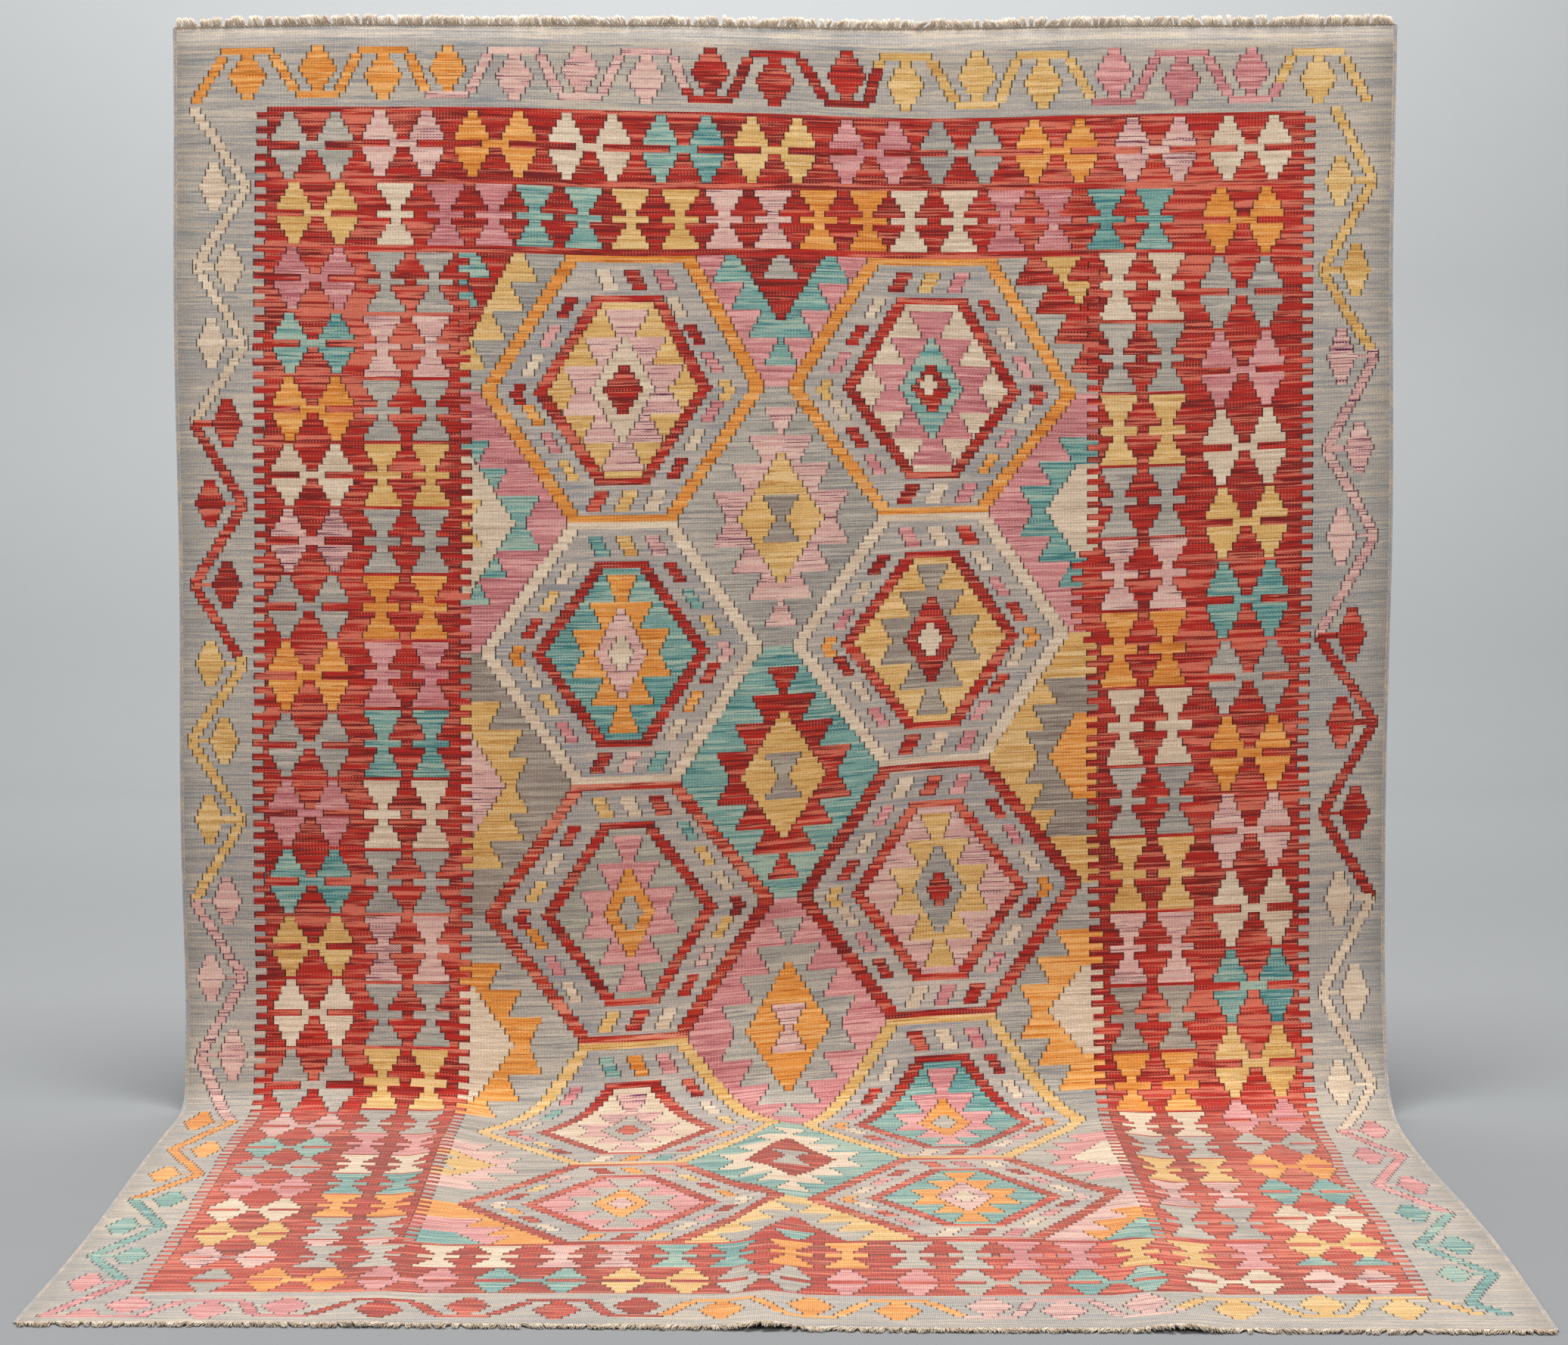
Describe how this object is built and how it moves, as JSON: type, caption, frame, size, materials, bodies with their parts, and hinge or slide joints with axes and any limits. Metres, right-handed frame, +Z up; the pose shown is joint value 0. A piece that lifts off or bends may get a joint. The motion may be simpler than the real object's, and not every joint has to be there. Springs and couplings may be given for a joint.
{
  "type": "kilim rug",
  "caption": "Flat-woven wool rug with short cut fringes, hung by its top end and swept forward onto the floor.",
  "frame": {"origin": "middle of the whole part's footprint, on the floor", "axes": "+X across the rug to the right as seen from the front, +Y towards the wall it hangs on, +Z up"},
  "size_m": [2.0508, 1.2544, 1.8459],
  "materials": {
    "woven_wool": "matte slit-woven wool",
    "fringe_wool": "undyed cut wool warp"
  },
  "bodies": {
    "root": {"kilim_cloth": "woven_wool", "fringe_top": "fringe_wool", "fringe_bottom": "fringe_wool"}
  },
  "joints": []
}
